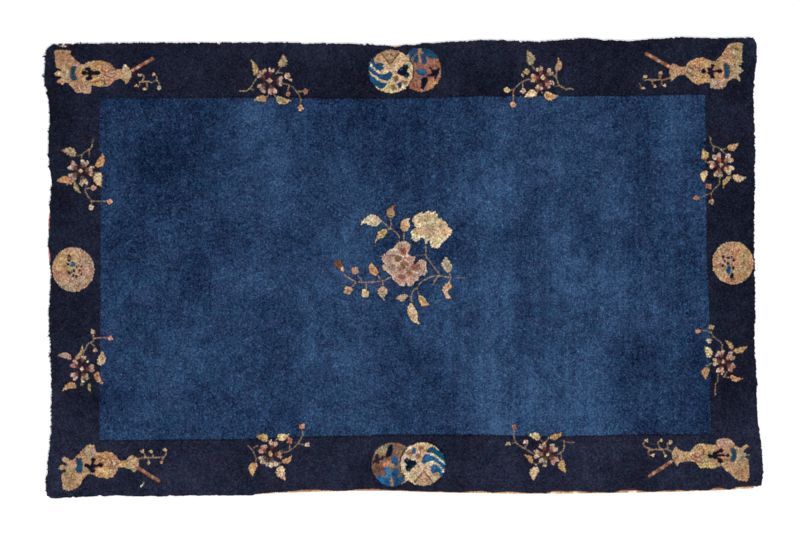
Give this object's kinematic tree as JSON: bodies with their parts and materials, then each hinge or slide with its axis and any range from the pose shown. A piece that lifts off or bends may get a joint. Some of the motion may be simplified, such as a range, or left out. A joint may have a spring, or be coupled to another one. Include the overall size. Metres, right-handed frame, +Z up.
{
  "type": "peking rug",
  "caption": "Hand-knotted wool pile rug lying flat, with vases, flower sprays and round medallions on dark blue and a cord wrapped along each long side.",
  "frame": {"origin": "under the middle of the rug's box, on the floor", "axes": "+X along the rug's length, +Y across it towards the side with the upper vases, +Z up out of the pile"},
  "size_m": [2.4628, 1.577, 0.0125],
  "materials": {
    "wool_pile": "cut wool pile in navy and dark blue, knotted with cream, rose, gold, teal and brown motifs",
    "tan_cotton": "tan cotton yarn overcast along the lower long side, worn to cream in places",
    "rose_cotton": "pinkish cream cotton yarn overcast along the upper long side"
  },
  "bodies": {
    "root": {"rug": "wool_pile", "lower_cord": "tan_cotton", "upper_cord": "rose_cotton"}
  },
  "joints": []
}
